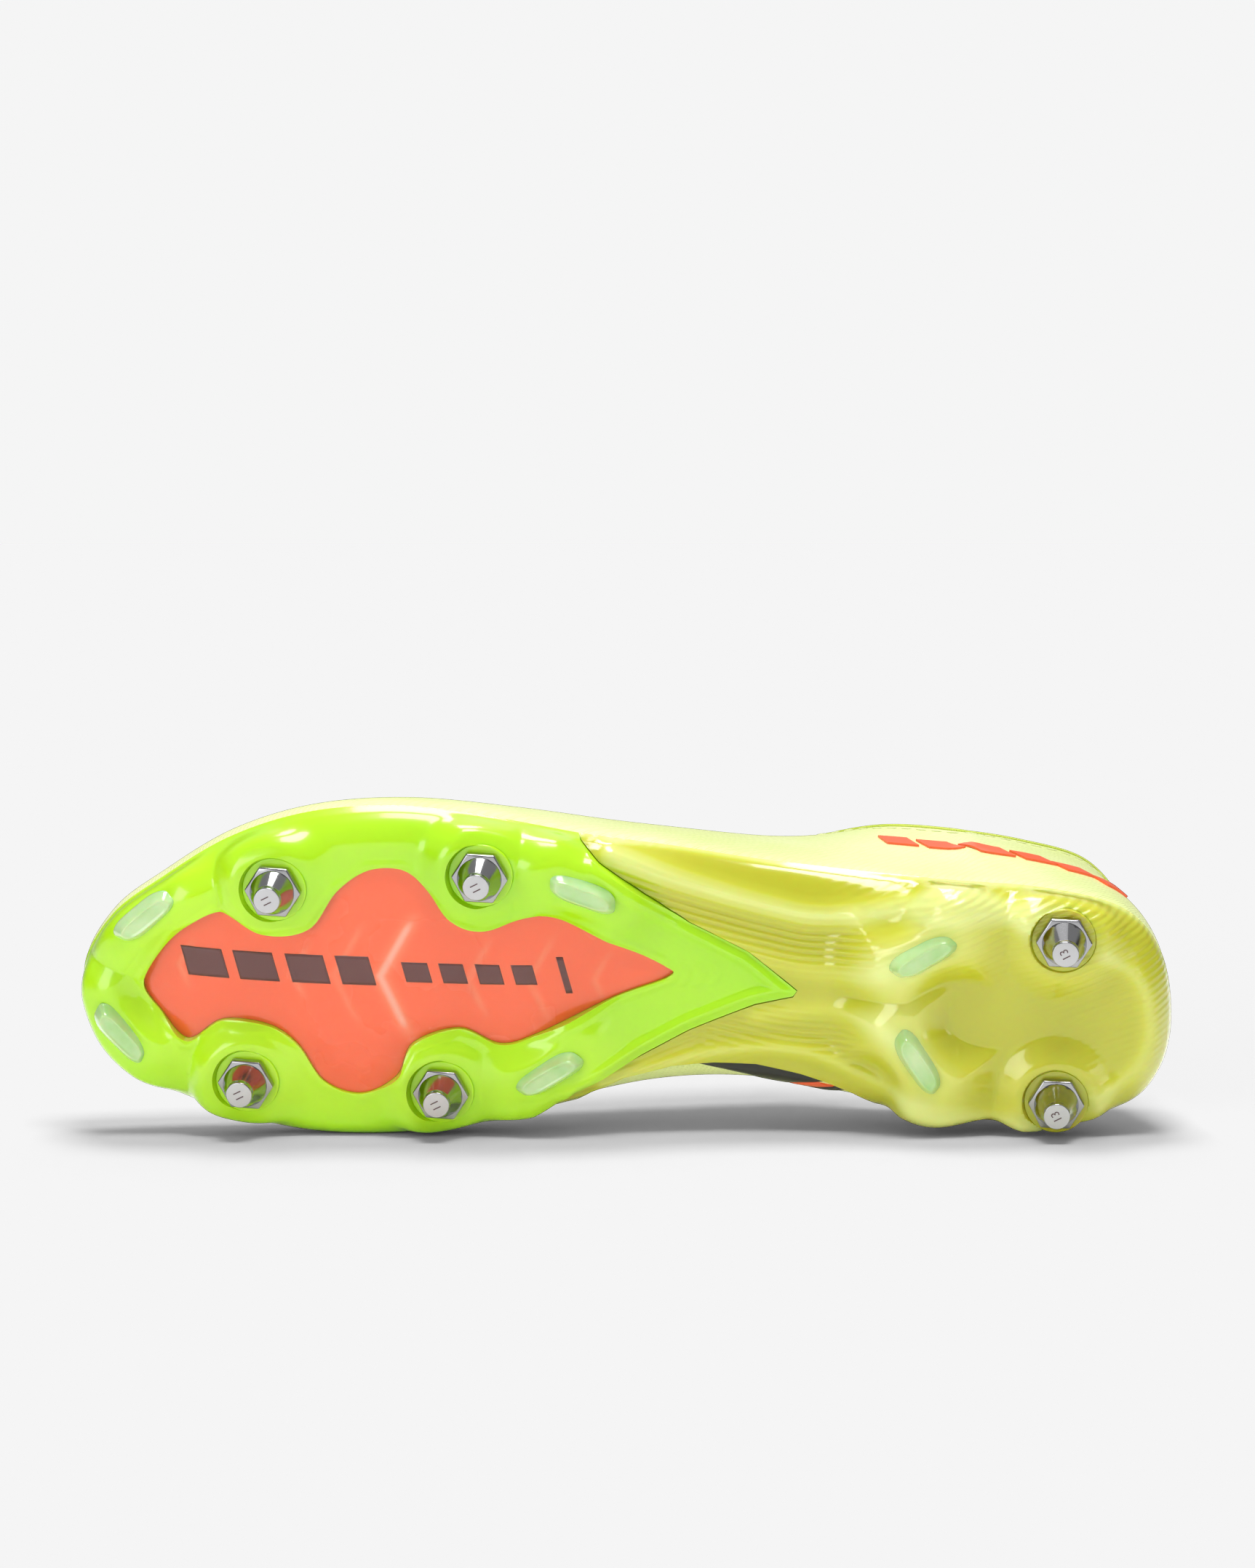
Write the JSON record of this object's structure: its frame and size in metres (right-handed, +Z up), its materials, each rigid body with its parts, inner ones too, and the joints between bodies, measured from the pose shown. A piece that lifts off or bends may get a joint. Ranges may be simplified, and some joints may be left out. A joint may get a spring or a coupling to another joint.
{
  "type": "soccer boot",
  "caption": "Left soft-ground soccer boot: lime forefoot plate with a sprung window, clear rear plate, screw-in steel studs, clear traction tips, pale laced upper.",
  "frame": {"origin": "middle of the boot's length and width on the ground, standing on its studs", "axes": "+X to the toe, +Y to the lateral (outer) side, +Z up"},
  "size_m": [0.289, 0.0914, 0.0959],
  "materials": {
    "lime_plate": "moulded, glossy",
    "clear_plate": "translucent, glossy",
    "air_orange": "glossy, lit from inside",
    "clear_film": "clear polymer film",
    "steel": "turned and plated",
    "tip_clear": "frosted, translucent",
    "board": "pressed fibre",
    "stiffener": "thermoformed sheet",
    "knit": "coated, fine raised texture",
    "lining": "brushed textile",
    "foam": "open foam",
    "binding": "woven tape",
    "tongue_knit": "padded knit",
    "eyestay": "welded film",
    "lace_cord": "flat braided",
    "panel_black": "satin print film",
    "panel_orange": "satin print film",
    "sock_foam": "closed-cell foam",
    "sock_cover": "knitted cover"
  },
  "bodies": {
    "boot": {"forefoot_plate": "lime_plate", "rear_plate": "clear_plate", "air_unit": "air_orange", "window_film": "clear_film", "insert_front_lateral": "steel", "insert_front_medial": "steel", "insert_mid_lateral": "steel", "insert_mid_medial": "steel", "insert_heel_lateral": "steel", "insert_heel_medial": "steel", "tip_toe_lateral": "tip_clear", "tip_toe_medial": "tip_clear", "tip_mid_lateral": "tip_clear", "tip_mid_medial": "tip_clear", "tip_heel_lateral": "tip_clear", "tip_heel_medial": "tip_clear", "lasting_board": "board", "heel_counter": "stiffener", "toe_puff": "stiffener", "upper_shell": "knit", "upper_lining": "lining", "collar_foam": "foam", "collar_binding": "binding", "tongue": "tongue_knit", "eyestay_lateral": "eyestay", "eyestay_medial": "eyestay", "lace": "lace_cord", "side_panel": "panel_black", "side_patch": "panel_orange", "heel_bars": "panel_orange"},
    "sockliner": {"sockliner_foam": "sock_foam", "sockliner_cover": "sock_cover"},
    "stem_front_lateral_slide": {"stem_front_lateral": "steel"},
    "stud_front_lateral_turn": {"stud_front_lateral": "steel"},
    "stem_front_medial_slide": {"stem_front_medial": "steel"},
    "stud_front_medial_turn": {"stud_front_medial": "steel"},
    "stem_mid_lateral_slide": {"stem_mid_lateral": "steel"},
    "stud_mid_lateral_turn": {"stud_mid_lateral": "steel"},
    "stem_mid_medial_slide": {"stem_mid_medial": "steel"},
    "stud_mid_medial_turn": {"stud_mid_medial": "steel"},
    "stem_heel_lateral_slide": {"stem_heel_lateral": "steel"},
    "stud_heel_lateral_turn": {"stud_heel_lateral": "steel"},
    "stem_heel_medial_slide": {"stem_heel_medial": "steel"},
    "stud_heel_medial_turn": {"stud_heel_medial": "steel"}
  },
  "joints": [
    {"name": "front_lateral_travel", "type": "slide", "parent": "boot", "child": "stem_front_lateral_slide", "axis": [0.1219, 0.0175, -0.9924], "range_m": [0, 0.005]},
    {"name": "front_lateral_turn", "type": "hinge", "parent": "stem_front_lateral_slide", "child": "stud_front_lateral_turn", "pos_m": [0.09318, 0.02339, 0.01134], "axis": [0.1219, 0.0175, -0.9924], "range_deg": [0, 2232]},
    {"name": "front_medial_travel", "type": "slide", "parent": "boot", "child": "stem_front_medial_slide", "axis": [0.1392, -0.0175, -0.9901], "range_m": [0, 0.005]},
    {"name": "front_medial_turn", "type": "hinge", "parent": "stem_front_medial_slide", "child": "stud_front_medial_turn", "pos_m": [0.09922, -0.02975, 0.01138], "axis": [0.1392, -0.0175, -0.9901], "range_deg": [0, 2232]},
    {"name": "mid_lateral_travel", "type": "slide", "parent": "boot", "child": "stem_mid_lateral_slide", "axis": [0.0872, 0, -0.9962], "range_m": [0, 0.005]},
    {"name": "mid_lateral_turn", "type": "hinge", "parent": "stem_mid_lateral_slide", "child": "stud_mid_lateral_turn", "pos_m": [0.03929, 0.02913, 0.01126], "axis": [0.0872, 0, -0.9962], "range_deg": [0, 2232]},
    {"name": "mid_medial_travel", "type": "slide", "parent": "boot", "child": "stem_mid_medial_slide", "axis": [0.1045, 0, -0.9945], "range_m": [0, 0.005]},
    {"name": "mid_medial_turn", "type": "hinge", "parent": "stem_mid_medial_slide", "child": "stud_mid_medial_turn", "pos_m": [0.04785, -0.03077, 0.01131], "axis": [0.1045, 0, -0.9945], "range_deg": [0, 2232]},
    {"name": "heel_lateral_travel", "type": "slide", "parent": "boot", "child": "stem_heel_lateral_slide", "axis": [0.0175, 0.0175, -0.9997], "range_m": [0, 0.005]},
    {"name": "heel_lateral_turn", "type": "hinge", "parent": "stem_heel_lateral_slide", "child": "stud_heel_lateral_turn", "pos_m": [-0.11393, 0.01641, 0.01306], "axis": [0.0175, 0.0175, -0.9997], "range_deg": [0, 2232]},
    {"name": "heel_medial_travel", "type": "slide", "parent": "boot", "child": "stem_heel_medial_slide", "axis": [0.0349, 0.0175, -0.9992], "range_m": [0, 0.005]},
    {"name": "heel_medial_turn", "type": "hinge", "parent": "stem_heel_medial_slide", "child": "stud_heel_medial_turn", "pos_m": [-0.11413, -0.02811, 0.01311], "axis": [0.0349, 0.0175, -0.9992], "range_deg": [0, 2232]},
    {"name": "sockliner_lift", "type": "hinge", "parent": "boot", "child": "sockliner", "pos_m": [0.1335, 0, 0.0255], "axis": [0, 1, 0], "range_deg": [0, 7]}
  ],
  "couplings": [
    {"joint": "front_lateral_travel", "follows": "front_lateral_turn", "m_per_rad": 0.00012732},
    {"joint": "front_medial_travel", "follows": "front_medial_turn", "m_per_rad": 0.00012732},
    {"joint": "mid_lateral_travel", "follows": "mid_lateral_turn", "m_per_rad": 0.00012732},
    {"joint": "mid_medial_travel", "follows": "mid_medial_turn", "m_per_rad": 0.00012732},
    {"joint": "heel_lateral_travel", "follows": "heel_lateral_turn", "m_per_rad": 0.00012732},
    {"joint": "heel_medial_travel", "follows": "heel_medial_turn", "m_per_rad": 0.00012732}
  ]
}
